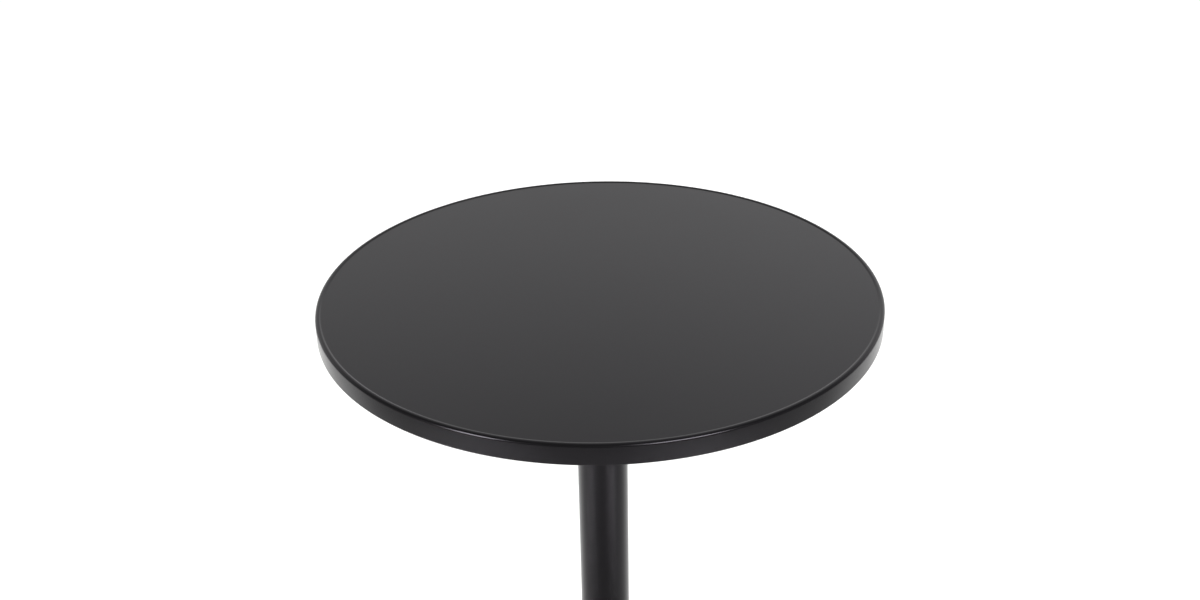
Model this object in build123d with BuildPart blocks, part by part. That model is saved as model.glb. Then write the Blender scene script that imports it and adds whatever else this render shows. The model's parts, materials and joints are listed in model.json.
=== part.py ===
from build123d import *
from math import sqrt
import os

# Round pedestal bistro table.  A pressed sheet-steel skin is wrapped over a
# fibreboard core to make the top.  A cast spider carries the top on a steel
# tube, and one long tie rod clamps spider, tube and cast cross base together.
# The base stands on four screw-adjusted levelling feet.
# Origin: floor level, on the column axis.  +Z is up, lengths in millimetres.

# ---------------------------------------------------------------- table sizes
table_height = 750.0  # floor to the crest of the top's raised lip
top_diameter = 600.0
column_diameter = 57.0
column_wall = 1.5
foot_circle_diameter = 470.0  # through the axes of the four feet
arm_count = 4  # arms of the base, each with a foot, and arms of the spider

# ------------------------------------------------------------------- tabletop
skin_thickness = 1.0
core_thickness = 18.0
backer_thickness = 1.0
lip_height = 0.8  # crest of the lip above the flat
lip_crest_width = 1.2
lip_slope_width = 1.7
lip_foot_radius = 2.0
lip_crest_radius = 1.5
shoulder_radius = 3.0
hem_bend_radius = 1.5
hem_width = 10.0  # sheet turned in under the backer
core_clearance = 0.2
core_edge_chamfer = 1.0

# ---------------------------------------------------------------- cast spider
screw_circle_diameter = 240.0
spider_root_radius = 26.0
spider_tip_radius = 15.0
spider_flange = 6.0
spider_hub_wall = 8.3
spider_hub_taper = 4.0  # the hub is this much wider where it meets the flanges
spider_web = 10.0  # metal between the nut pocket and the tube's socket
spider_rib_width = 9.0
spider_rib_end = 24.0  # from the end of a rib to the screw
spider_edge_radius = 2.0
nut_pocket_clearance = 5.0  # round the washer, for a box spanner
nut_pocket_spare = 1.0

# ------------------------------------------------- sockets for the column tube
socket_depth = 6.0
socket_clearance = 0.2

# ------------------------------------------------------------------ cast base
base_wall = 6.0
base_height = 62.0  # toe underside to the rim of the tube's socket
base_web = 12.0  # metal under the tube
base_arch = 8.0  # rise of the underside from the toes to the hub
hub_wall = 8.3  # round the tube's socket and round the hollow below it
hub_collar = 14.0  # from the rim of the hub down to the line of the arms
hub_rim_radius = 2.0
hub_junction_radius = 12.0  # between the hub and the arms
crotch_radius = 24.0  # between neighbouring arms
arm_root_radius = 31.0
arm_edge_radius = 8.0
toe_radius = 22.0
toe_height = 24.0
toe_boss_radius = 14.0  # solid metal round the foot's thread

# ------------------------------------------------------------------ fasteners
thread_clearance = 0.05
hole_clearance = 0.5
rod_radius = 6.0
rod_protrusion = 2.0
rod_chamfer = 1.0
nut_flats = 18.0
nut_height = 10.0
washer_radius = 12.0
washer_thickness = 2.5
plate_washer_clearance = 3.7  # to the wall of the hollow under the hub
plate_washer_thickness = 4.0
spring_washer_radius = 10.5
spring_washer_thickness = 3.0
spring_washer_split = 2.0
screw_radius = 3.0
screw_length = 20.0
screw_head_radius = 6.0
screw_head_height = 4.2
screw_head_round = 2.5
screw_recess_length = 6.0
screw_recess_width = 1.2
screw_recess_depth = 2.2
screw_washer_radius = 7.5
screw_washer_thickness = 1.6
insert_radius = 4.5
insert_length = 12.0
insert_hole_spare = 1.0

# ------------------------------------------------------------- levelling feet
stud_radius = 4.0
stud_length = 19.0  # thread above the hexagon
stud_hole_spare = 1.0
stud_chamfer = 0.8
hex_flats = 13.0
hex_height = 5.0
hex_gap = 0.2  # to the toe, with the foot screwed fully home
pad_radius = 16.0
pad_top_radius = 12.5
pad_height = 9.0
pad_floor = 3.0  # nylon under the stud's head
pad_rim_height = 3.5
pad_edge_radius = 1.0
pad_clearance = 0.1
stud_head_radius = 7.0
stud_head_height = 2.5
stud_neck_radius = 3.5

# -------------------------------------------------------------- derived sizes
top_radius = top_diameter / 2
flat_z = table_height - lip_height
core_top_z = flat_z - skin_thickness
core_bottom_z = core_top_z - core_thickness
backer_bottom_z = core_bottom_z - backer_thickness
underside_z = backer_bottom_z - skin_thickness
core_radius = top_radius - skin_thickness - core_clearance
backer_radius = top_radius - hem_bend_radius - core_clearance

spider_top_z = backer_bottom_z
flange_bottom_z = spider_top_z - spider_flange
nut_pocket_depth = washer_thickness + nut_height + rod_protrusion + nut_pocket_spare
nut_pocket_z = spider_top_z - nut_pocket_depth
spider_socket_z = nut_pocket_z - spider_web
spider_bottom_z = spider_socket_z - socket_depth
screw_circle_radius = screw_circle_diameter / 2

foot_radius = foot_circle_diameter / 2
hex_bottom_z = pad_height + pad_clearance
base_bottom_z = hex_bottom_z + hex_height + hex_gap
base_top_z = base_bottom_z + base_height
base_socket_z = base_top_z - socket_depth
base_web_z = base_socket_z - base_web
toe_top_z = base_bottom_z + toe_height
toe_inner = foot_radius - toe_radius
toe_reach = foot_radius + toe_radius

column_radius = column_diameter / 2
socket_radius = column_radius + socket_clearance
spider_hub_radius = socket_radius + spider_hub_wall
hub_radius = socket_radius + hub_wall
nut_pocket_radius = washer_radius + nut_pocket_clearance
plate_washer_radius = socket_radius - plate_washer_clearance
rod_hole_radius = rod_radius + hole_clearance
thread_bore_radius = rod_radius + thread_clearance
plate_washer_z = base_web_z - plate_washer_thickness
spring_washer_z = plate_washer_z - spring_washer_thickness
bottom_nut_z = spring_washer_z - nut_height
top_nut_z = nut_pocket_z + washer_thickness
rod_bottom_z = bottom_nut_z - rod_protrusion
rod_top_z = top_nut_z + nut_height + rod_protrusion
screw_head_z = flange_bottom_z - screw_washer_thickness
screw_tip_z = screw_head_z + screw_length
insert_hole_top_z = max(core_bottom_z + insert_length, screw_tip_z) + insert_hole_spare

screw_places = PolarLocations(screw_circle_radius, arm_count)
arm_places = PolarLocations(0, arm_count)

os.makedirs("parts", exist_ok=True)


def save(piece, name):
    """Labels a finished piece and writes it under its own name."""
    piece.part.label = name
    export_step(piece.part, f"parts/{name}.step")


def ring(outer_radius, inner_radius, thickness, z):
    """A flat washer whose lower face lies at z."""
    with BuildPart() as washer:
        with BuildSketch(Plane.XY.offset(z)):
            Circle(outer_radius)
            Circle(inner_radius, mode=Mode.SUBTRACT)
        extrude(amount=thickness)
    return washer


def hexagon(plane, flats, height):
    """A hexagonal prism standing on a plane, its corners turned off at both ends."""
    corner_radius = flats / sqrt(3)
    turned_off = corner_radius - flats / 2
    with BuildPart() as prism:
        with BuildSketch(plane):
            Circle(corner_radius)
        extrude(amount=height)
        side = prism.faces().filter_by(GeomType.CYLINDER)[0]
        chamfer(side.edges().filter_by(GeomType.CIRCLE), turned_off / 2, turned_off, reference=side)
        with BuildSketch(plane):
            RegularPolygon(flats / 2, 6, major_radius=False)
        extrude(amount=height, mode=Mode.INTERSECT)
    return prism.part


def hex_nut(z):
    """A nut for the tie rod with its lower face at z."""
    plane = Plane.XY.offset(z)
    with BuildPart() as nut:
        add(hexagon(plane, nut_flats, nut_height))
        with BuildSketch(plane):
            Circle(thread_bore_radius)
        extrude(amount=nut_height, mode=Mode.SUBTRACT)
    return nut


# ============================================================ tabletop assembly
# Skin: the outer line of the sheet from the centre, over the lip, down the
# skirt and in under the edge, thickened inwards and spun about the axis.
lip_crest_inner = top_radius - shoulder_radius - lip_crest_width

with BuildPart() as top_skin:
    with BuildSketch(Plane.XZ):
        with BuildLine():
            FilletPolyline(
                (0, flat_z),
                (lip_crest_inner - lip_slope_width, flat_z),
                (lip_crest_inner, table_height),
                (top_radius, table_height),
                (top_radius, underside_z),
                (top_radius - hem_width, underside_z),
                radius=[lip_foot_radius, lip_crest_radius, shoulder_radius, hem_bend_radius],
            )
            offset(amount=skin_thickness, side=Side.RIGHT, kind=Kind.INTERSECTION)
        make_face()
    revolve(axis=Axis.Z)
save(top_skin, "top_skin")

with BuildPart() as top_core:
    with BuildSketch(Plane.XY.offset(core_bottom_z)):
        Circle(core_radius)
    extrude(amount=core_thickness)
    chamfer(top_core.edges().sort_by(Axis.Z)[-1], core_edge_chamfer)
    with BuildSketch(Plane.XY.offset(core_bottom_z)):
        with screw_places:
            Circle(insert_radius + thread_clearance)
    extrude(amount=insert_hole_top_z - core_bottom_z, mode=Mode.SUBTRACT)
save(top_core, "top_core")

with BuildPart() as top_backer:
    with BuildSketch(Plane.XY.offset(backer_bottom_z)):
        Circle(backer_radius)
        with screw_places:
            Circle(insert_radius + thread_clearance, mode=Mode.SUBTRACT)
    extrude(amount=backer_thickness)
save(top_backer, "top_backer")

with BuildPart() as threaded_inserts:
    with BuildSketch(Plane.XY.offset(core_bottom_z)):
        with screw_places:
            Circle(insert_radius)
            Circle(screw_radius + thread_clearance, mode=Mode.SUBTRACT)
    extrude(amount=insert_length)
save(threaded_inserts, "threaded_inserts")

# ====================================================================== spider
# Four flat flanges screw to the top.  A tapered rib under each one runs to the
# hub, which holds the tie rod's nut from above and the tube from below.
with BuildSketch() as flange_outline:
    Circle(spider_root_radius)
    with Locations((screw_circle_radius, 0)):
        Circle(spider_tip_radius)
    make_hull()

with BuildPart() as spider_rib:
    with BuildSketch(Plane.XZ):
        with BuildLine():
            Polyline(
                (0, spider_top_z - spider_flange / 2),
                (screw_circle_radius - spider_rib_end, spider_top_z - spider_flange / 2),
                (screw_circle_radius - spider_rib_end, flange_bottom_z),
                (spider_hub_radius, spider_socket_z),
                (0, spider_socket_z),
                close=True,
            )
        make_face()
    extrude(amount=spider_rib_width / 2, both=True)

with BuildPart() as spider:
    with BuildSketch(Plane.XY.offset(flange_bottom_z)):
        with arm_places:
            add(flange_outline.sketch)
    extrude(amount=spider_flange)
    with arm_places:
        add(spider_rib.part)
    with BuildSketch(Plane.XZ):
        Polygon(
            (0, spider_top_z),
            (spider_hub_radius + spider_hub_taper, spider_top_z),
            (spider_hub_radius + spider_hub_taper, flange_bottom_z),
            (spider_hub_radius, spider_bottom_z),
            (0, spider_bottom_z),
            align=None,
        )
    revolve(axis=Axis.Z)
    fillet(spider.faces().sort_by(Axis.Z)[0].edges(), spider_edge_radius)
    with BuildSketch(Plane.XY.offset(spider_bottom_z)):
        Circle(socket_radius)
    extrude(amount=socket_depth, mode=Mode.SUBTRACT)
    with BuildSketch(Plane.XY.offset(nut_pocket_z)):
        Circle(nut_pocket_radius)
    extrude(amount=nut_pocket_depth, mode=Mode.SUBTRACT)
    with BuildSketch(Plane.XY.offset(spider_socket_z)):
        Circle(rod_hole_radius)
    extrude(amount=spider_web, mode=Mode.SUBTRACT)
    with BuildSketch(Plane.XY.offset(flange_bottom_z)):
        with screw_places:
            Circle(screw_radius + hole_clearance)
    extrude(amount=spider_flange, mode=Mode.SUBTRACT)
save(spider, "spider")

with BuildPart() as spider_screws:
    with BuildSketch(Plane.XY.offset(screw_head_z)):
        with screw_places:
            Circle(screw_radius)
    extrude(amount=screw_tip_z - screw_head_z)
    with BuildSketch(Plane.XY.offset(screw_head_z - screw_head_height)):
        with screw_places:
            Circle(screw_head_radius)
    extrude(amount=screw_head_height)
    head_rims = spider_screws.edges().filter_by(GeomType.CIRCLE).group_by(Axis.Z)[0]
    fillet(head_rims, screw_head_round)
    with BuildSketch(Plane.XY.offset(screw_head_z - screw_head_height)):
        with screw_places:
            Rectangle(screw_recess_length, screw_recess_width)
            Rectangle(screw_recess_width, screw_recess_length)
    extrude(amount=screw_recess_depth, mode=Mode.SUBTRACT)
save(spider_screws, "spider_screws")

with BuildPart() as spider_washers:
    with BuildSketch(Plane.XY.offset(screw_head_z)):
        with screw_places:
            Circle(screw_washer_radius)
            Circle(screw_radius + hole_clearance, mode=Mode.SUBTRACT)
    extrude(amount=screw_washer_thickness)
save(spider_washers, "spider_washers")

# ========================================================== column and tie rod
column = ring(
    column_radius, column_radius - column_wall, spider_socket_z - base_socket_z, base_socket_z
)
save(column, "column_tube")

with BuildPart() as tie_rod:
    with BuildSketch(Plane.XY.offset(rod_bottom_z)):
        Circle(rod_radius)
    extrude(amount=rod_top_z - rod_bottom_z)
    chamfer(tie_rod.edges().filter_by(GeomType.CIRCLE), rod_chamfer)
save(tie_rod, "tie_rod")

save(hex_nut(top_nut_z), "tie_rod_top_nut")
save(ring(washer_radius, rod_hole_radius, washer_thickness, nut_pocket_z), "tie_rod_top_washer")
save(hex_nut(bottom_nut_z), "tie_rod_bottom_nut")
save(
    ring(plate_washer_radius, rod_hole_radius, plate_washer_thickness, plate_washer_z),
    "tie_rod_plate_washer",
)

with BuildPart() as spring_washer:
    with BuildSketch(Plane.XY.offset(spring_washer_z)):
        Circle(spring_washer_radius)
        Circle(rod_hole_radius, mode=Mode.SUBTRACT)
        with Locations((spring_washer_radius, 0)):
            Rectangle(2 * (spring_washer_radius - rod_radius), spring_washer_split, mode=Mode.SUBTRACT)
    extrude(amount=spring_washer_thickness)
save(spring_washer, "tie_rod_spring_washer")


# =================================================================== cast base
# One casting: a plan of four tapered arms, cut by a crown spun about the column's
# axis, which sweeps up from flat toes to the hub.  A smaller pair hollows it out.
def base_solid(inset, arm_end, end_radius):
    """The base drawn in by inset, with its arms' round ends centred arm_end from the axis."""
    hub_root = (hub_radius - inset, base_top_z - hub_collar - inset)
    toe_edge = (toe_inner, toe_top_z - inset)
    toe_z_middle = base_bottom_z + toe_height / 2

    with BuildSketch() as arm_plan:
        Circle(arm_root_radius - inset)
        with Locations((arm_end, 0)):
            Circle(end_radius)
        make_hull()

    with BuildPart() as solid:
        with BuildSketch(Plane.XY.offset(base_bottom_z)) as plan:
            with arm_places:
                add(arm_plan.sketch)
            fillet(plan.vertices().group_by(SortBy.DISTANCE)[0], crotch_radius + inset)
        extrude(amount=base_height)
        with BuildSketch(Plane.XZ) as crown:
            with BuildLine():
                sweep = TangentArc(toe_edge, hub_root, tangent=(-1, 0))
                Polyline(
                    hub_root,
                    (hub_root[0], base_top_z),
                    (0, base_top_z),
                    (0, base_bottom_z),
                    (toe_reach, base_bottom_z),
                    (toe_reach, toe_edge[1]),
                    toe_edge,
                )
            make_face()
            fillet(crown.vertices().sort_by_distance(hub_root)[0], hub_junction_radius + inset)
        revolve(axis=Axis.Z, mode=Mode.INTERSECT)
        walls = solid.faces().filter_by(lambda face: face.bounding_box().min.Z < toe_z_middle)
        rims = walls.edges().filter_by(lambda edge: edge.bounding_box().min.Z > toe_z_middle)
        fillet(rims, arm_edge_radius - inset)
    return solid.part


hollow_end_radius = toe_radius - base_wall

with BuildPart() as base_hollow:
    add(base_solid(base_wall, foot_radius - toe_boss_radius - hollow_end_radius, hollow_end_radius))
    with BuildSketch(Plane.XY.offset(base_bottom_z)):
        Circle(hub_radius)
    extrude(amount=base_height, mode=Mode.SUBTRACT)
    with BuildSketch(Plane.XY.offset(base_bottom_z)):
        Circle(hub_radius)
    extrude(amount=base_web_z - base_bottom_z)
    with BuildSketch(Plane.XZ):
        with BuildLine():
            arch_crown = (0, base_bottom_z + base_arch)
            arch_foot = (toe_inner, base_bottom_z)
            TangentArc(arch_crown, arch_foot, tangent=(1, 0))
            Polyline(arch_foot, (0, base_bottom_z), arch_crown)
        make_face()
    revolve(axis=Axis.Z)

with BuildPart() as base:
    add(base_solid(0, foot_radius, toe_radius))
    fillet(base.edges().sort_by(Axis.Z)[-1], hub_rim_radius)
    add(base_hollow.part, mode=Mode.SUBTRACT)
    with BuildSketch(Plane.XY.offset(base_socket_z)):
        Circle(socket_radius)
    extrude(amount=socket_depth, mode=Mode.SUBTRACT)
    with BuildSketch(Plane.XY.offset(base_web_z)):
        Circle(rod_hole_radius)
    extrude(amount=base_web, mode=Mode.SUBTRACT)
    with BuildSketch(Plane.XY.offset(base_bottom_z)):
        with PolarLocations(foot_radius, arm_count):
            Circle(stud_radius + thread_clearance)
    extrude(amount=stud_length - hex_gap + stud_hole_spare, mode=Mode.SUBTRACT)
save(base, "base")

# ============================================================== levelling feet
# Each foot is a threaded stud with a hexagon, and its head turns in a nylon pad.
hex_top_z = hex_bottom_z + hex_height
stud_head_z = pad_floor + pad_clearance
pad_pocket_top_z = stud_head_z + stud_head_height + pad_clearance

for number, place in enumerate(PolarLocations(foot_radius, arm_count), 1):
    foot_plane = Plane(place)

    with BuildPart() as foot_stud:
        add(hexagon(foot_plane.offset(hex_bottom_z), hex_flats, hex_height))
        with BuildSketch(foot_plane.offset(stud_head_z)):
            Circle(stud_neck_radius)
        extrude(amount=hex_bottom_z - stud_head_z)
        with BuildSketch(foot_plane.offset(stud_head_z)):
            Circle(stud_head_radius)
        extrude(amount=stud_head_height)
        with BuildSketch(foot_plane.offset(hex_top_z)):
            Circle(stud_radius)
        extrude(amount=stud_length)
        chamfer(foot_stud.faces().sort_by(Axis.Z)[-1].edges(), stud_chamfer)
    save(foot_stud, f"foot_stud_{number}")

    with BuildPart() as foot_pad:
        with BuildSketch(foot_plane):
            Circle(pad_radius)
        extrude(amount=pad_rim_height)
        fillet(foot_pad.edges().filter_by(GeomType.CIRCLE).group_by(Axis.Z)[0], pad_edge_radius)
        with BuildSketch(foot_plane.offset(pad_rim_height)):
            Circle(pad_radius)
        with BuildSketch(foot_plane.offset(pad_height)):
            Circle(pad_top_radius)
        loft()
        with BuildSketch(foot_plane.offset(stud_head_z - pad_clearance)):
            Circle(stud_head_radius + pad_clearance)
        extrude(amount=stud_head_height + 2 * pad_clearance, mode=Mode.SUBTRACT)
        with BuildSketch(foot_plane.offset(pad_pocket_top_z)):
            Circle(stud_neck_radius + pad_clearance)
        extrude(amount=pad_height - pad_pocket_top_z, mode=Mode.SUBTRACT)
    save(foot_pad, f"foot_pad_{number}")
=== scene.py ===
import json
import math

import bmesh
import bpy
import numpy as np
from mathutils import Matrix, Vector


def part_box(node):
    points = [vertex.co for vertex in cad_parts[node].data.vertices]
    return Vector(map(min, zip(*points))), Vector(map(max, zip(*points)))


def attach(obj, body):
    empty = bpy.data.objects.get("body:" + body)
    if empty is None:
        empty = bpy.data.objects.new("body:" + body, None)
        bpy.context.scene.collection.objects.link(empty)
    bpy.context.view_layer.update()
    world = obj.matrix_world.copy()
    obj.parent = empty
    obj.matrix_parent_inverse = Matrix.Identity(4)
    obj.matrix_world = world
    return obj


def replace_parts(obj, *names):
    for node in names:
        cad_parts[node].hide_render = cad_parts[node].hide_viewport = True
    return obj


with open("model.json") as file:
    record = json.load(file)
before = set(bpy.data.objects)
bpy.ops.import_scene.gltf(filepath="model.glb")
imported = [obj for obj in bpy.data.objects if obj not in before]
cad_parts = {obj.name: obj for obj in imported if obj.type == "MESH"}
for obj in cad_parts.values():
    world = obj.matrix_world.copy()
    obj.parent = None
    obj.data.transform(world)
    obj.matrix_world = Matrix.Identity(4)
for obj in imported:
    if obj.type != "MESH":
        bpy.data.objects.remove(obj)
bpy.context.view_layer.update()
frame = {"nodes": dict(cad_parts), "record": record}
nodes = frame["nodes"]
mm = 0.001
print("frame loaded:", len(nodes), "nodes")


def linearColour(code):
    # sRGB hex, as a paint chart gives it, to the linear values that the shader wants
    channels = np.array([int(code[i:i + 2], 16) for i in (1, 3, 5)]) / 255
    linear = np.where(channels <= 0.04045, channels / 12.92, ((channels + 0.055) / 1.055) ** 2.4)
    return (*linear.tolist(), 1.0)


def addNode(owner, kind, settings, links=()):
    # one node, with its sockets or properties set, and each (socket, node, output) joined to it
    node = owner.node_tree.nodes.new(kind)
    for name, value in settings.items():
        if isinstance(name, int) or name in node.inputs:
            node.inputs[name].default_value = value
        else:
            setattr(node, name, value)
    for name, source, output in links:
        owner.node_tree.links.new(source.outputs[output], node.inputs[name])
    return node


def newMaterial(name, settings):
    # a material with its shader's plain sockets set
    material = bpy.data.materials.new(name)
    material.use_nodes = True
    shader = material.node_tree.nodes["Principled BSDF"]
    for socket, value in settings.items():
        shader.inputs[socket].default_value = value
    return material, shader


def drive(material, shader, socket, source, output):
    # one socket of the shader taken from a node
    material.node_tree.links.new(source.outputs[output], shader.inputs[socket])


noiseMiddle = {"From Min": 0.3, "From Max": 0.7}  # nearly all of a noise pattern lies between these

satinBlack = {
    "colour": "#050505",
    "ior": 1.33,
    "tint": (0.94, 0.885, 1.0, 1.0),  # the sheen is a shade towards violet
    "peelSize": 1.8 * mm,  # orange peel, crest to crest
    "peelDepth": 0.0025 * mm,
    "driftSize": 70.0 * mm,  # slow change of sheen over the sheet
}


def powderCoat(name, roughness, drift):
    # polyester powder sprayed on sheet steel and baked: near-black, with an even satin sheen,
    # a faint orange peel in it and a slow drift of the sheen where the film is thicker
    material, shader = newMaterial(name, {
        "Base Color": linearColour(satinBlack["colour"]),
        "IOR": satinBlack["ior"],
        "Specular Tint": satinBlack["tint"],
    })
    place = addNode(material, "ShaderNodeTexCoord", {})
    slow = addNode(material, "ShaderNodeTexNoise", {"Scale": 1 / satinBlack["driftSize"], "Detail": 3.0},
                   [("Vector", place, "Object")])
    sheen = addNode(material, "ShaderNodeMapRange",
                    {**noiseMiddle, "To Min": roughness - drift, "To Max": roughness + drift},
                    [("Value", slow, "Fac")])
    drive(material, shader, "Roughness", sheen, "Result")
    peel = addNode(material, "ShaderNodeTexNoise", {"Scale": 1 / satinBlack["peelSize"], "Detail": 1.0},
                   [("Vector", place, "Object")])
    bump = addNode(material, "ShaderNodeBump", {"Strength": 1.0, "Distance": satinBlack["peelDepth"]},
                   [("Height", peel, "Fac")])
    drive(material, shader, "Normal", bump, "Normal")
    return material


castSurface = {
    "colour": "#101011",
    "ior": 1.4,
    "sheenDrift": 0.04,  # of roughness, to either side
    "grainSize": 1.1 * mm,  # sand grain left by the mould
    "grainSharpness": 0.6,
    "grainDepth": 0.05 * mm,
    "rollSize": 14.0 * mm,  # hand-dressed unevenness
    "rollDepth": 0.12 * mm,
}


def castCoat(name, roughness):
    # grey iron from a sand mould, shot-blasted and powder coated: the sand's grain and the
    # dresser's gentle hollows still show through the black film
    material, shader = newMaterial(name, {
        "Base Color": linearColour(castSurface["colour"]),
        "IOR": castSurface["ior"],
    })
    place = addNode(material, "ShaderNodeTexCoord", {})
    grain = addNode(material, "ShaderNodeTexNoise", {
        "Scale": 1 / castSurface["grainSize"], "Detail": 3.0, "Roughness": castSurface["grainSharpness"],
    }, [("Vector", place, "Object")])
    roll = addNode(material, "ShaderNodeTexNoise", {"Scale": 1 / castSurface["rollSize"], "Detail": 1.0},
                   [("Vector", place, "Object")])
    drift = castSurface["sheenDrift"]
    sheen = addNode(material, "ShaderNodeMapRange",
                    {**noiseMiddle, "To Min": roughness - drift, "To Max": roughness + drift},
                    [("Value", roll, "Fac")])
    drive(material, shader, "Roughness", sheen, "Result")
    rolled = addNode(material, "ShaderNodeBump", {"Strength": 1.0, "Distance": castSurface["rollDepth"]},
                     [("Height", roll, "Fac")])
    grained = addNode(material, "ShaderNodeBump", {"Strength": 1.0, "Distance": castSurface["grainDepth"]},
                      [("Height", grain, "Fac"), ("Normal", rolled, "Normal")])
    drive(material, shader, "Normal", grained, "Normal")
    return material


zincPlate = {
    "dark": "#a9b1ba",
    "light": "#c9ccce",
    "cloudSize": 6.0 * mm,
    "roughness": (0.2, 0.38),  # of the brightest and the haziest patches
}


def brightZinc():
    # electroplated zinc with a clear blue passivate: a bright grey metal, clouded in patches
    material, shader = newMaterial("brightZinc", {"Metallic": 1.0})
    place = addNode(material, "ShaderNodeTexCoord", {})
    cloud = addNode(material, "ShaderNodeTexNoise", {"Scale": 1 / zincPlate["cloudSize"], "Detail": 4.0},
                    [("Vector", place, "Object")])
    colour = addNode(material, "ShaderNodeMix", {
        "data_type": "RGBA", 6: linearColour(zincPlate["dark"]), 7: linearColour(zincPlate["light"]),
    }, [(0, cloud, "Fac")])
    drive(material, shader, "Base Color", colour, 2)
    brightest, haziest = zincPlate["roughness"]
    haze = addNode(material, "ShaderNodeMapRange", {**noiseMiddle, "To Min": brightest, "To Max": haziest},
                   [("Value", cloud, "Fac")])
    drive(material, shader, "Roughness", haze, "Result")
    return material


padNylon = {
    "colour": "#1b1b1d",
    "roughness": 0.5,
    "ior": 1.53,
    "grainSize": 0.6 * mm,
    "grainDepth": 0.02 * mm,
}


def mouldedNylon():
    # black glass-filled nylon from a spark-eroded mould: matt, with a fine even grain
    material, shader = newMaterial("mouldedNylon", {
        "Base Color": linearColour(padNylon["colour"]),
        "Roughness": padNylon["roughness"],
        "IOR": padNylon["ior"],
    })
    place = addNode(material, "ShaderNodeTexCoord", {})
    grain = addNode(material, "ShaderNodeTexNoise", {"Scale": 1 / padNylon["grainSize"], "Detail": 2.0},
                    [("Vector", place, "Object")])
    bump = addNode(material, "ShaderNodeBump", {"Strength": 1.0, "Distance": padNylon["grainDepth"]},
                   [("Height", grain, "Fac")])
    drive(material, shader, "Normal", bump, "Normal")
    return material


woodFibre = {"dark": "#6f5335", "light": "#a88a63", "roughness": 0.9, "length": 1.5 * mm}


def fibreboard():
    # pressed wood fibre: tan, with short darker fibres
    material, shader = newMaterial("fibreboard", {"Roughness": woodFibre["roughness"]})
    place = addNode(material, "ShaderNodeTexCoord", {})
    fibre = addNode(material, "ShaderNodeTexNoise", {"Scale": 1 / woodFibre["length"], "Detail": 6.0},
                    [("Vector", place, "Object")])
    colour = addNode(material, "ShaderNodeMix", {
        "data_type": "RGBA", 6: linearColour(woodFibre["dark"]), 7: linearColour(woodFibre["light"]),
    }, [(0, fibre, "Fac")])
    drive(material, shader, "Base Color", colour, 2)
    return material


backer = {
    "dark": "#211b17",
    "light": "#3a3029",
    "roughness": 0.55,
    "mottleSize": 9.0 * mm,
    "lineLength": 40.0 * mm,  # sanding lines, drawn coarser than the grit leaves them, so that they show
    "lineWidth": 0.8 * mm,
    "lineDepth": 0.02 * mm,
}


def phenolicBacker():
    # kraft paper in phenolic resin, pressed with a matt sheet: dark brown, faintly mottled,
    # with the sander's fine straight lines
    material, shader = newMaterial("phenolicBacker", {"Roughness": backer["roughness"]})
    place = addNode(material, "ShaderNodeTexCoord", {})
    mottle = addNode(material, "ShaderNodeTexNoise", {"Scale": 1 / backer["mottleSize"], "Detail": 5.0},
                     [("Vector", place, "Object")])
    colour = addNode(material, "ShaderNodeMix", {
        "data_type": "RGBA", 6: linearColour(backer["dark"]), 7: linearColour(backer["light"]),
    }, [(0, mottle, "Fac")])
    drive(material, shader, "Base Color", colour, 2)
    stretched = addNode(material, "ShaderNodeMapping", {
        "Scale": (1 / backer["lineLength"], 1 / backer["lineWidth"], 1.0),
    }, [("Vector", place, "Object")])
    lines = addNode(material, "ShaderNodeTexNoise", {"Scale": 1.0, "Detail": 2.0},
                    [("Vector", stretched, "Vector")])
    bump = addNode(material, "ShaderNodeBump", {"Strength": 1.0, "Distance": backer["lineDepth"]},
                   [("Height", lines, "Fac")])
    drive(material, shader, "Normal", bump, "Normal")
    return material


finishes = {
    "powder_coat_top": powderCoat("powderCoatOnTop", roughness=0.2, drift=0.02),
    "powder_coat_column": powderCoat("powderCoatOnColumn", roughness=0.22, drift=0.03),
    "powder_coat_casting": castCoat("powderCoatOnSpider", roughness=0.45),
    "powder_coat_iron": castCoat("powderCoatOnBase", roughness=0.38),
    "fibreboard": fibreboard(),
    "backer_paper": phenolicBacker(),
    "zinc_plate": brightZinc(),
    "nylon": mouldedNylon(),
}
slots = {part["node"]: part["material_slot"] for part in frame["record"]["subparts"]}
for name, node in nodes.items():
    node.data.materials.clear()
    node.data.materials.append(finishes[slots[name]])
print("finishes made:", len(finishes))

poleMerge = 1e-7  # metres: points of a surface that are nearer than this are one
edgeSpacing = 0.1 * mm  # between the points of a small rounded edge


def surfaceObject(name, grids, finish, body, sharpAngle=35.0):
    # each grid of places is one closed shell, round it by rows and along it by columns.  Each four
    # neighbours make one face, the last row joins the first, and what meets at a pole is merged.
    quads, count = [], 0
    for grid in grids:
        rows = count + np.arange(grid.shape[0] * grid.shape[1]).reshape(grid.shape[:2])
        rows = np.vstack([rows, rows[:1]])
        corners = [rows[:-1, :-1], rows[1:, :-1], rows[1:, 1:], rows[:-1, 1:]]
        quads.append(np.stack(corners, axis=-1).reshape(-1, 4))
        count += grid.shape[0] * grid.shape[1]
    places = np.vstack([grid.reshape(-1, 3) for grid in grids])
    mesh = bpy.data.meshes.new(name)
    mesh.from_pydata(places.tolist(), [], np.vstack(quads).tolist())
    work = bmesh.new()
    work.from_mesh(mesh)
    bmesh.ops.remove_doubles(work, verts=work.verts, dist=poleMerge)
    bmesh.ops.recalc_face_normals(work, faces=work.faces)
    work.to_mesh(mesh)
    work.free()
    mesh.polygons.foreach_set("use_smooth", np.ones(len(mesh.polygons), bool))
    mesh.set_sharp_from_angle(angle=math.radians(sharpAngle))
    mesh.materials.append(finishes[finish])
    piece = bpy.data.objects.new(name, mesh)
    bpy.context.scene.collection.objects.link(piece)
    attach(piece, body)
    return piece


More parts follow.
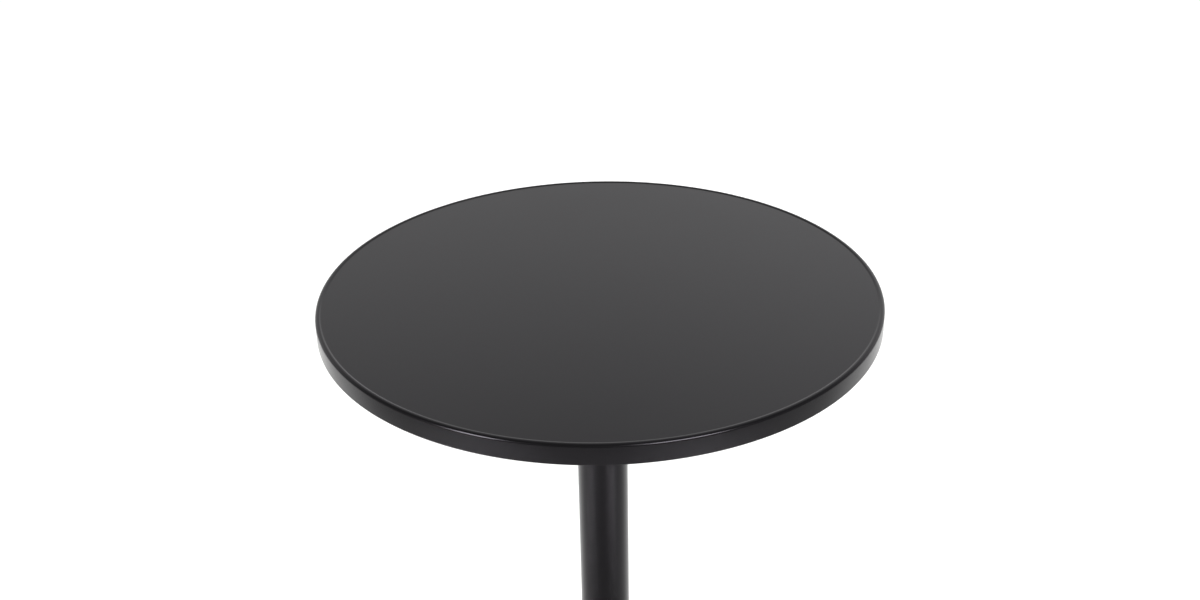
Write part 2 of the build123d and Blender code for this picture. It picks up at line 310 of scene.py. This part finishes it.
def roundedLine(corners, radii, spacing):
    # straight runs between the corners, with an arc of the given radius at each inner corner, in
    # three steps or more
    corners = np.array(corners, float)
    pieces = [corners[:1]]
    for before, corner, after, radius in zip(corners, corners[1:], corners[2:], radii):
        inward, outward = corner - before, after - corner
        inward, outward = inward / np.linalg.norm(inward), outward / np.linalg.norm(outward)
        turn = math.atan2(inward[0] * outward[1] - inward[1] * outward[0], inward @ outward)
        start = corner - inward * radius * math.tan(abs(turn) / 2)
        centre = start + math.copysign(radius, turn) * np.array([-inward[1], inward[0]])
        angles = np.linspace(0, turn, max(3, math.ceil(abs(turn) * radius / spacing)) + 1)
        arm = start - centre
        pieces.append(centre + np.stack([
            arm[0] * np.cos(angles) - arm[1] * np.sin(angles),
            arm[0] * np.sin(angles) + arm[1] * np.cos(angles),
        ], axis=-1))
    pieces.append(corners[-1:])
    return np.vstack(pieces)


def turned(radius, height, turn, axis=(0.0, 0.0)):
    # a surface of revolution: each (radius, height), carried to each angle about a vertical axis
    turn = turn[:, None]
    radius, height = np.broadcast_arrays(radius, height)
    return np.stack([axis[0] + radius * np.cos(turn), axis[1] + radius * np.sin(turn),
                     height + 0 * turn], axis=-1)


def fullTurn(segments):
    # equal angles once round, without the last one, which is the first again
    return np.linspace(0, 2 * math.pi, segments, endpoint=False)


def profiled(blocks, turn, axis=(0.0, 0.0)):
    # stretches of a turned piece, one after another, each (radius, height) with the radius the
    # same all round or a table of its own for every angle
    radii = np.hstack([np.broadcast_to(radius, (len(turn), len(height))) for radius, height in blocks])
    return turned(radii, np.concatenate([height for radius, height in blocks]), turn, axis)


def hexagonRadius(turn, flats, corner):
    # from the axis to the side of a hexagon, one corner of which points at the given angle
    sixth = math.pi / 3
    return flats / 2 / np.cos((turn - corner) % sixth - sixth / 2)


def hexagonBlock(turn, flats, bottom, top, bevel, corner, bevelSteps=7):
    # the hexagon's sides, cut back near both ends by a cone that starts at the flats and opens
    # twice as fast as it climbs
    steps = np.linspace(0, bevel, bevelSteps)
    height = np.concatenate([bottom + steps, top - steps[::-1]])
    cone = flats / 2 + 2 * np.minimum(height - bottom, top - height)
    return np.minimum(hexagonRadius(turn, flats, corner)[:, None], cone), height


threadForm = {
    "steepness": 1.3,
    "crestFlat": 0.15,  # share of the wave's height that is cut off at the crest
    "stepsPerPitch": 10,
}


def threadBlock(turn, crest, bottom, top, pitch, depth, chamfer):
    # a groove that climbs one pitch each turn: a triangle wave of the height less the turn, made
    # steeper and cut flat at crest and root, fading in over the first pitch from the plain end, and
    # turned down to a cone at the free end (positive chamfer: at the top, negative: at the bottom)
    height = np.linspace(bottom, top, math.ceil((top - bottom) / pitch * threadForm["stepsPerPitch"]) + 1)
    wave = np.abs(2 * ((height / pitch - turn[:, None] / (2 * math.pi)) % 1.0) - 1)
    groove = np.clip(threadForm["steepness"] * wave - threadForm["crestFlat"], 0, 1)
    plainEnd = height - bottom if chamfer > 0 else top - height
    freeEnd = top - height if chamfer > 0 else height - bottom
    radius = crest - depth * groove * np.clip(plainEnd / pitch, 0, 1)
    return np.minimum(radius, crest - abs(chamfer) + freeEnd), height


skinLow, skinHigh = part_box("top_skin")
skin = {
    "thickness": 1.0 * mm,
    "lipHeight": 0.8 * mm,
    "crestWidth": 1.2 * mm,
    "slopeWidth": 1.7 * mm,
    "footRadius": 2.0 * mm,
    "crestRadius": 1.5 * mm,
    "shoulderRadius": 3.0 * mm,
    "hemRadius": 1.5 * mm,
    "hemWidth": 10.0 * mm,
    "ripple": 0.12 * mm,  # unevenness that pressing leaves in the skirt
    "ripples": ((11, 0.4, 0.35), (23, 1.9, 0.25), (37, 5.1, 0.25), (58, 2.7, 0.15)),
    "wander": (3, 0.7),  # the ripples bunch up and spread this many times round, by this angle
    "spacing": 0.2 * mm,  # between the points of a rounded edge
    "segments": 720,
}


def skirtRipple(turn, height):
    # a sum of a few sine waves round the edge, each (waves, phase, share), always inwards,
    # fading out from the middle of the skirt to the crest and the hem
    times, angle = skin["wander"]
    waves = sum(share * np.sin(count * turn + phase + angle * np.sin(times * turn))
                for count, phase, share in skin["ripples"])
    up = (height - skinLow.z) / (skinHigh.z - skinLow.z)
    return -skin["ripple"] * (0.5 + 0.5 * waves) * np.sin(math.pi * np.clip(up, 0, 1)) ** 2


def tabletopSkin():
    # the sheet's outer line and, a thickness inside it, its inner line, spun about the axis
    radius, top, bottom = skinHigh.x, skinHigh.z, skinLow.z
    flat = top - skin["lipHeight"]
    crestInner = radius - skin["shoulderRadius"] - skin["crestWidth"]
    outer = roundedLine(
        [(0, flat), (crestInner - skin["slopeWidth"], flat), (crestInner, top), (radius, top),
         (radius, bottom), (radius - skin["hemWidth"], bottom)],
        [skin["footRadius"], skin["crestRadius"], skin["shoulderRadius"], skin["hemRadius"]],
        skin["spacing"])
    along = np.gradient(outer, axis=0)
    along /= np.linalg.norm(along, axis=1)[:, None]
    inner = outer + skin["thickness"] * np.stack([along[:, 1], -along[:, 0]], axis=-1)
    inner[0, 0] = 0
    profile = np.vstack([outer, inner[::-1]])
    turn = fullTurn(skin["segments"])
    onSkirt = profile[:, 0] > crestInner
    radii = profile[:, 0] + onSkirt * skirtRipple(turn[:, None], profile[None, :, 1])
    return surfaceObject("tabletopSkin", [turned(radii, profile[:, 1], turn)], "powder_coat_top", "table")


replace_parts(tabletopSkin(), "top_skin")
print("tabletop made")

casting = {
    "merge": 1e-6,  # metres: corners of the drawn triangles that are nearer than this are one
    "sharpAngle": 30.0,
}


def joinedCopy(node, body):
    # the drawn mesh with its loose triangles joined, so that its rounded edges shade as one surface
    mesh = nodes[node].data.copy()
    work = bmesh.new()
    work.from_mesh(mesh)
    bmesh.ops.remove_doubles(work, verts=work.verts, dist=casting["merge"])
    print(node, "joined, open edges:", sum(len(edge.link_faces) != 2 for edge in work.edges))
    work.to_mesh(mesh)
    work.free()
    mesh.attributes.remove(mesh.attributes["custom_normal"])
    mesh.polygons.foreach_set("use_smooth", np.ones(len(mesh.polygons), bool))
    mesh.set_sharp_from_angle(angle=math.radians(casting["sharpAngle"]))
    piece = bpy.data.objects.new(node + "Casting", mesh)
    bpy.context.scene.collection.objects.link(piece)
    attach(piece, body)
    return piece


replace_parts(joinedCopy("base", "table"), "base")
print("base made")

tubeLow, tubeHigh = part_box("column_tube")
tube = {"wall": 1.5 * mm, "edgeBreak": 0.3 * mm, "segments": 192}


def columnTube():
    # the wall's section as a closed line, with its sawn edges broken, spun about the axis
    outer, inner, edge = tubeHigh.x, tubeHigh.x - tube["wall"], tube["edgeBreak"]
    low, high = tubeLow.z, tubeHigh.z
    section = np.array([
        (inner, low + edge), (inner + edge, low), (outer - edge, low), (outer, low + edge),
        (outer, high - edge), (outer - edge, high), (inner + edge, high), (inner, high - edge),
        (inner, low + edge)])
    wall = turned(section[:, 0], section[:, 1], fullTurn(tube["segments"]))
    return surfaceObject("columnTube", [wall], "powder_coat_column", "table")


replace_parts(columnTube(), "column_tube")
print("column made")

tieRod = {
    "threadLength": 28.0 * mm,
    "pitch": 1.75 * mm,
    "depth": 0.95 * mm,
    "chamfer": 1.0 * mm,
    "nutFlats": 18.0 * mm,
    "nutBevel": 0.7 * mm,
    "nutBore": 5.4 * mm,  # into the thread's grooves, so that no gap shows beside the rod
    "countersink": 1.2 * mm,
    "washerBore": 6.5 * mm,
    "washerRound": 0.4 * mm,  # edge rolled over by the punch
    "nutSharpAngle": 20.0,
    "segments": 72,
}


def threadedRod():
    # a plain bar with a thread of the same width at each end
    low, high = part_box("tie_rod")
    turn = fullTurn(tieRod["segments"])
    lowEnd = threadBlock(turn, high.x, low.z, low.z + tieRod["threadLength"], tieRod["pitch"],
                         tieRod["depth"], -tieRod["chamfer"])
    highEnd = threadBlock(turn, high.x, high.z - tieRod["threadLength"], high.z, tieRod["pitch"],
                          tieRod["depth"], tieRod["chamfer"])
    ends = [(np.zeros(1), np.array([place])) for place in (low.z, high.z)]
    bar = profiled([ends[0], lowEnd, highEnd, ends[1]], turn)
    return surfaceObject("threadedRod", [bar], "zinc_plate", "table")


def hexNut(name, node):
    # outside a hexagon with its corners turned off, inside a bore countersunk at both ends
    low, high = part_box(node)
    turn = fullTurn(tieRod["segments"])
    bore, sink = tieRod["nutBore"], tieRod["countersink"]
    inside = (np.array([bore, bore]), np.array([high.z - sink, low.z + sink]))
    mouths = [(np.array([bore + sink]), np.array([place])) for place in (low.z, high.z)]
    outside = hexagonBlock(turn, tieRod["nutFlats"], low.z, high.z, tieRod["nutBevel"], corner=0.0)
    closing = (np.array([bore]), np.array([high.z - sink]))
    body = profiled([inside, mouths[0], outside, mouths[1], closing], turn)
    return surfaceObject(name, [body], "zinc_plate", "table", tieRod["nutSharpAngle"])


def washerGrid(radius, bore, low, high, rounding, segments, axis=(0.0, 0.0)):
    # a flat ring's section, closed upon itself: its two outer edges are rounded, and the upper edge
    # of its bore a quarter as much
    section = roundedLine([(bore, low), (radius, low), (radius, high), (bore, high), (bore, low)],
                          [rounding, rounding, rounding / 4], edgeSpacing)
    return turned(section[:, 0], section[:, 1], fullTurn(segments), axis)


def rodWasher(name, node):
    # a punched ring as wide and as thick as the node's own
    low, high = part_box(node)
    ring = washerGrid(high.x, tieRod["washerBore"], low.z, high.z, tieRod["washerRound"],
                      tieRod["segments"])
    return surfaceObject(name, [ring], "zinc_plate", "table")


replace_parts(threadedRod(), "tie_rod")
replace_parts(hexNut("tieRodBottomNut", "tie_rod_bottom_nut"), "tie_rod_bottom_nut")
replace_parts(hexNut("tieRodTopNut", "tie_rod_top_nut"), "tie_rod_top_nut")
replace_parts(rodWasher("tieRodPlateWasher", "tie_rod_plate_washer"), "tie_rod_plate_washer")
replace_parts(rodWasher("tieRodTopWasher", "tie_rod_top_washer"), "tie_rod_top_washer")
print("tie rod made")

panScrew = {
    "radius": 3.0 * mm,
    "headRadius": 6.0 * mm,
    "headHeight": 4.2 * mm,
    "headRound": 2.5 * mm,
    "roundShare": 0.98,  # of that, so that a short flat is left beside the head's face
    "seatRound": 0.1 * mm,
    "faceSteps": 30,
    "recessLength": 6.4 * mm,
    "recessWidth": 1.3 * mm,
    "recessDepth": 2.4 * mm,
    "recessSlope": 0.18 * mm,  # over which each long wall of the recess falls
    "recessEnd": 1.2 * mm,  # over which each arm of it runs out
    "pitch": 1.0 * mm,
    "depth": 0.55 * mm,
    "chamfer": 0.5 * mm,
    "count": 4,
    "sharpAngle": 30.0,
    "segments": 96,
    "washerBore": 3.5 * mm,
    "washerRound": 0.3 * mm,
    "washerSegments": 64,
}


def crossRecess(radius, turn):
    # depth of a cross slot at each place on the head: full where the nearer axis is within the
    # slot's half width, and shallower towards the half length along the farther one
    along, across = radius * np.cos(turn[:, None]), radius * np.sin(turn[:, None])
    near = np.minimum(np.abs(along), np.abs(across))
    far = np.maximum(np.abs(along), np.abs(across))
    width = np.clip((panScrew["recessWidth"] / 2 - near) / panScrew["recessSlope"], 0, 1)
    length = np.clip((panScrew["recessLength"] / 2 - far) / panScrew["recessEnd"], 0, 1)
    return panScrew["recessDepth"] * width * length


def screwCircle(radius):
    # the centres of the screws, evenly spaced on a circle from the X axis on
    return [(radius * math.cos(angle), radius * math.sin(angle))
            for angle in fullTurn(panScrew["count"])]


def spiderScrews():
    # from below: the head's face with its recess, its rounded side and seat, and the thread.  The
    # recess lifts the face differently at each angle, so the heights are a table too.
    low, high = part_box("spider_screws")
    turn = fullTurn(panScrew["segments"])
    circle = high.x - panScrew["headRadius"]
    seat = low.z + panScrew["headHeight"]
    face = np.linspace(0, panScrew["headRadius"] - panScrew["headRound"], panScrew["faceSteps"])
    faceHeight = low.z + crossRecess(face, turn)
    side = roundedLine([(face[-1], low.z), (panScrew["headRadius"], low.z), (panScrew["headRadius"], seat),
                        (panScrew["radius"], seat)],
                       [panScrew["headRound"] * panScrew["roundShare"], panScrew["seatRound"]], edgeSpacing)
    threadRadius, threadHeight = threadBlock(turn, panScrew["radius"], seat, high.z, panScrew["pitch"],
                                             panScrew["depth"], panScrew["chamfer"])
    radii = np.hstack([np.broadcast_to(block, (len(turn), np.shape(block)[-1]))
                       for block in (face, side[:, 0], threadRadius, np.zeros(1))])
    heights = np.hstack([faceHeight] + [np.broadcast_to(block, (len(turn), len(block)))
                                        for block in (side[:, 1], threadHeight, np.array([high.z]))])
    grids = [turned(radii, heights, turn, centre) for centre in screwCircle(circle)]
    return surfaceObject("spiderScrews", grids, "zinc_plate", "table", panScrew["sharpAngle"])


def spiderWashers():
    # a ring under each head, whose radius is how far the node's box reaches beyond the screws' circle
    low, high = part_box("spider_washers")
    radius = (high.x - low.x) / 2 - (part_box("spider_screws")[1].x - panScrew["headRadius"])
    grids = [washerGrid(radius, panScrew["washerBore"], low.z, high.z, panScrew["washerRound"],
                        panScrew["washerSegments"], centre)
             for centre in screwCircle(high.x - radius)]
    return surfaceObject("spiderWashers", grids, "zinc_plate", "table")


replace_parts(spiderScrews(), "spider_screws")
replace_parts(spiderWashers(), "spider_washers")
print("screws made")

stud = {
    "headRadius": 7.0 * mm,
    "headHeight": 2.5 * mm,
    "headRound": 0.5 * mm,
    "neckRadius": 3.5 * mm,
    "flats": 13.0 * mm,
    "hexHeight": 5.0 * mm,
    "bevel": 0.5 * mm,
    "radius": 4.0 * mm,
    "threadLength": 19.0 * mm,
    "pitch": 1.25 * mm,
    "depth": 0.7 * mm,
    "chamfer": 0.8 * mm,
    "sharpAngle": 20.0,
    "segments": 96,
}
pad = {
    "topRadius": 12.5 * mm,
    "rimHeight": 3.5 * mm,
    "rimRound": 1.0 * mm,
    "topRound": 0.8 * mm,
    "pocketRadius": 7.1 * mm,
    "pocketFloor": 3.0 * mm,
    "pocketTop": 5.7 * mm,
    "mouthRadius": 3.6 * mm,
    "soleRadius": 10.0 * mm,  # of the dished middle of the sole
    "soleDish": 0.5 * mm,
    "dishRound": 0.3 * mm,
    "waistRound": 0.8 * mm,  # where the rim meets the cone
    "mouthRound": 0.3 * mm,
    "pocketRound": 0.1 * mm,
    "floorRound": 0.2 * mm,
    "spacing": 0.15 * mm,  # between the points of a rounded edge
    "segments": 128,
}


def footStud(number):
    # from below: the head that turns in the pad, the neck, the hexagon and the thread
    low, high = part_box(f"foot_stud_{number}")
    axis = ((low.x + high.x) / 2, (low.y + high.y) / 2)
    turn = fullTurn(stud["segments"])
    hexTop = high.z - stud["threadLength"]
    hexBottom = hexTop - stud["hexHeight"]
    headTop = low.z + stud["headHeight"]
    head = roundedLine([(0, low.z), (stud["headRadius"], low.z), (stud["headRadius"], headTop),
                        (stud["neckRadius"], headTop), (stud["neckRadius"], hexBottom)],
                       [stud["headRound"]] * 3, edgeSpacing)
    corner = math.atan2(axis[1], axis[0])  # one corner of the hexagon points away from the column
    grid = profiled([
        (head[:, 0], head[:, 1]),
        hexagonBlock(turn, stud["flats"], hexBottom, hexTop, stud["bevel"], corner),
        threadBlock(turn, stud["radius"], hexTop, high.z, stud["pitch"], stud["depth"],
                    stud["chamfer"]),
        (np.zeros(1), np.array([high.z])),
    ], turn, axis)
    return surfaceObject(f"footStud_{number}", [grid], "zinc_plate", f"foot_{number}_stud",
                         stud["sharpAngle"])


def footPad(number):
    # sole, rim, cone and mouth outside, and the pocket for the stud's head inside
    low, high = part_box(f"foot_pad_{number}")
    axis = ((low.x + high.x) / 2, (low.y + high.y) / 2)
    rim = (high.x - low.x) / 2
    dish, waist = low.z + pad["soleDish"], low.z + pad["rimHeight"]
    pocketTop, pocketFloor = low.z + pad["pocketTop"], low.z + pad["pocketFloor"]
    line = roundedLine(
        [(0, dish), (pad["soleRadius"], dish), (pad["soleRadius"] + pad["soleDish"], low.z), (rim, low.z),
         (rim, waist), (pad["topRadius"], high.z), (pad["mouthRadius"], high.z),
         (pad["mouthRadius"], pocketTop), (pad["pocketRadius"], pocketTop),
         (pad["pocketRadius"], pocketFloor), (0, pocketFloor)],
        [pad["dishRound"], pad["dishRound"], pad["rimRound"], pad["waistRound"], pad["topRound"],
         pad["mouthRound"], pad["pocketRound"], pad["pocketRound"], pad["floorRound"]],
        pad["spacing"])
    grid = turned(line[:, 0], line[:, 1], fullTurn(pad["segments"]), axis)
    return surfaceObject(f"footPad_{number}", [grid], "nylon", f"foot_{number}_pad")


footCount = 4
for number in range(1, footCount + 1):
    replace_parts(footStud(number), f"foot_stud_{number}")
    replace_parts(footPad(number), f"foot_pad_{number}")
print("feet made")

floorPaper = {
    "roughness": 0.8,
    # near: the paper's colour at the front, greyed there as painted shade
    "near": "#d2d2d1",
    "far": "#f9f9f8",
    "fade": (-0.1, 0.42),  # from near to far along Y
    "size": 14.0,  # from the middle to each side
    # the painted shadow: a darker oval under the front of the tabletop, where it lies and how dark it is
    "shadeCentre": (0, -0.45, 0),
    "shadeWidth": (1.25, 1.0, 1.0),  # how much faster the shade ends along X than along Y
    "shadeReach": (0.15, 0.85),
    "shadeDepth": 0.66,
}


def studioPaper():
    # matt studio paper with painted shade: its colour is greyer at the front than behind the object,
    # and darker still in a soft oval under the front of the tabletop, a painted shadow that stands
    # in for the shade there
    material, shader = newMaterial("studioPaper", {"Roughness": floorPaper["roughness"]})
    place = addNode(material, "ShaderNodeTexCoord", {})
    parts = addNode(material, "ShaderNodeSeparateXYZ", {}, [("Vector", place, "Object")])
    back = addNode(material, "ShaderNodeMapRange", {
        "interpolation_type": "SMOOTHSTEP",
        "From Min": floorPaper["fade"][0], "From Max": floorPaper["fade"][1],
    }, [("Value", parts, "Y")])
    colour = addNode(material, "ShaderNodeMix", {
        "data_type": "RGBA", 6: linearColour(floorPaper["near"]), 7: linearColour(floorPaper["far"]),
    }, [(0, back, "Result")])
    offset = addNode(material, "ShaderNodeVectorMath", {
        "operation": "SUBTRACT", 1: floorPaper["shadeCentre"],
    }, [(0, place, "Object")])
    oval = addNode(material, "ShaderNodeVectorMath", {"operation": "MULTIPLY", 1: floorPaper["shadeWidth"]},
                   [(0, offset, "Vector")])
    reach = addNode(material, "ShaderNodeVectorMath", {"operation": "LENGTH"}, [(0, oval, "Vector")])
    light = addNode(material, "ShaderNodeMapRange", {
        "interpolation_type": "SMOOTHSTEP", "From Min": floorPaper["shadeReach"][0],
        "From Max": floorPaper["shadeReach"][1], "To Min": floorPaper["shadeDepth"], "To Max": 1.0,
    }, [("Value", reach, "Value")])
    shaded = addNode(material, "ShaderNodeVectorMath", {"operation": "SCALE"},
                     [(0, colour, 2), ("Scale", light, "Result")])
    drive(material, shader, "Base Color", shaded, "Vector")
    return material


floorMesh = bpy.data.meshes.new("floor")
floorSize = floorPaper["size"]
floorMesh.from_pydata([(-floorSize, -floorSize, 0), (floorSize, -floorSize, 0), (floorSize, floorSize, 0),
                       (-floorSize, floorSize, 0)], [], [(0, 1, 2, 3)])
floorMesh.materials.append(studioPaper())
floor = bpy.data.objects.new("floor", floorMesh)
bpy.context.scene.collection.objects.link(floor)

studio = {
    "brightest": 1.4,  # what full white of the steps below stands for
    "steps": (  # (how far up, strength)
        (0.0, 1.0), (0.3, 1.1), (0.38, 1.22), (0.47, 0.94), (0.56, 0.69), (0.7, 0.58), (0.88, 0.95),
    ),
    "rightGain": 1.22,  # the right-hand walls are this much brighter than the left
    "rightEdge": (0.0, 0.2),  # how far to the right the gain starts and is whole
    "dimSides": 0.42,  # strength beside and behind the camera, where the room isn't lit
    "dimEdge": (0.1, 0.7),  # how far ahead the walls start to be lit and are wholly lit
    "lamps": {
        "leftStrip": {"place": (-1.21, -1.26, 1.16), "aim": (-0.2, -0.35, 0.65),
                      "width": 0.46, "height": 0.75, "power": 14.0, "spread": 140.0, "reflected": True},
        "rightBox": {"place": (0.76, -1.4, 1.5), "aim": (0.1, -0.3, 0.65),
                     "width": 0.76, "height": 0.5, "power": 14.5, "spread": 140.0, "reflected": True},
        "leftPool": {"place": (-0.72, -0.4, 1.8), "aim": (-0.72, -0.4, 0),
                     "width": 0.1, "height": 0.1, "power": 1.4, "spread": 28.0, "reflected": False},
        "rightPool": {"place": (0.5, -0.7, 1.8), "aim": (0.5, -0.7, 0),
                      "width": 0.1, "height": 0.1, "power": 1.8, "spread": 28.0, "reflected": False},
        "leftSpill": {"place": (-0.95, -1.05, 1.8), "aim": (-0.95, -1.05, 0),
                      "width": 0.3, "height": 0.3, "power": 2.2, "spread": 40.0, "reflected": False},
        "rightSpill": {"place": (0.75, -1.2, 1.8), "aim": (0.75, -1.2, 0),
                       "width": 0.3, "height": 0.3, "power": 2.8, "spread": 45.0, "reflected": False},
        "backBox": {"place": (0, 2.4, 4.5), "aim": (0, 2.4, 0),
                    "width": 6.0, "height": 2.0, "power": 220.0, "spread": 180.0, "reflected": False},
    },
}


def studioWorld():
    # a lit wall behind the object in smooth steps of height, brighter to the right, and a dimmer
    # room beside and behind the camera.  The camera itself sees plain white beyond the floor.
    world = bpy.data.worlds.new("studio")
    world.use_nodes = True
    background = world.node_tree.nodes["Background"]
    sky = addNode(world, "ShaderNodeTexCoord", {})
    parts = addNode(world, "ShaderNodeSeparateXYZ", {}, [("Vector", sky, "Generated")])
    steps = addNode(world, "ShaderNodeValToRGB", {}, [("Fac", parts, "Z")])
    steps.color_ramp.interpolation = "EASE"
    stops = steps.color_ramp.elements
    while len(stops) < len(studio["steps"]):
        stops.new(0.5)  # each stop's place is set below
    for stop, (up, strength) in zip(stops, studio["steps"]):
        stop.position = up
        stop.color = (*[strength / studio["brightest"]] * 3, 1.0)
    side = addNode(world, "ShaderNodeMapRange", {
        "From Min": studio["rightEdge"][0], "From Max": studio["rightEdge"][1],
        "To Min": studio["brightest"], "To Max": studio["brightest"] * studio["rightGain"],
    }, [("Value", parts, "X")])
    lit = addNode(world, "ShaderNodeMapRange", {
        "interpolation_type": "SMOOTHSTEP",
        "From Min": studio["dimEdge"][0], "From Max": studio["dimEdge"][1],
        "To Min": studio["dimSides"], "To Max": 1.0,
    }, [("Value", parts, "Y")])
    walls = addNode(world, "ShaderNodeMath", {"operation": "MULTIPLY"},
                    [(0, steps, "Color"), (1, side, "Result")])
    seen = addNode(world, "ShaderNodeMath", {"operation": "MULTIPLY"},
                   [(0, walls, "Value"), (1, lit, "Result")])
    path = addNode(world, "ShaderNodeLightPath", {})
    strength = addNode(world, "ShaderNodeMix", {3: 1.0}, [(0, path, "Is Camera Ray"), (2, seen, "Value")])
    world.node_tree.links.new(strength.outputs[0], background.inputs["Strength"])
    background.inputs["Color"].default_value = (1.0, 1.0, 1.0, 1.0)
    bpy.context.scene.world = world


studioWorld()


def softbox(name, settings):
    # a rectangular lamp that faces its aim, and that the camera itself doesn't see
    light = bpy.data.lights.new(name, "AREA")
    light.shape = "RECTANGLE"
    light.size, light.size_y, light.energy = settings["width"], settings["height"], settings["power"]
    light.spread = math.radians(settings["spread"])
    lamp = bpy.data.objects.new(name, light)
    lamp.location = settings["place"]
    direction = Vector(settings["aim"]) - Vector(settings["place"])
    lamp.rotation_euler = direction.to_track_quat("-Z", "Y").to_euler()
    lamp.visible_camera = False
    lamp.visible_glossy = settings["reflected"]
    bpy.context.scene.collection.objects.link(lamp)


for lampName, lampSettings in studio["lamps"].items():
    softbox(lampName, lampSettings)

view = {
    "place": (0.0003, -1.3475, 1.4427),
    "pitch": 27.62,
    "roll": -1.095,
    "lens": 42.56,
    "sensor": 36.0,
}


def tableCamera():
    # looks along +Y and down by the pitch, tilted about its own line of sight by the roll
    pitch, roll = math.radians(view["pitch"]), math.radians(view["roll"])
    level, raised = np.array([1.0, 0, 0]), np.array([0, math.sin(pitch), math.cos(pitch)])
    right = math.cos(roll) * level + math.sin(roll) * raised
    up = -math.sin(roll) * level + math.cos(roll) * raised
    camera = bpy.data.objects.new("camera", bpy.data.cameras.new("camera"))
    camera.data.lens = view["lens"]
    camera.data.sensor_width = view["sensor"]
    columns = np.stack([right, up, np.cross(right, up), view["place"]], axis=-1)
    camera.matrix_world = Matrix([*columns.tolist(), [0, 0, 0, 1]])
    bpy.context.scene.collection.objects.link(camera)
    bpy.context.scene.camera = camera


tableCamera()
bpy.context.scene.view_settings.view_transform = "Standard"
print("light and camera placed")
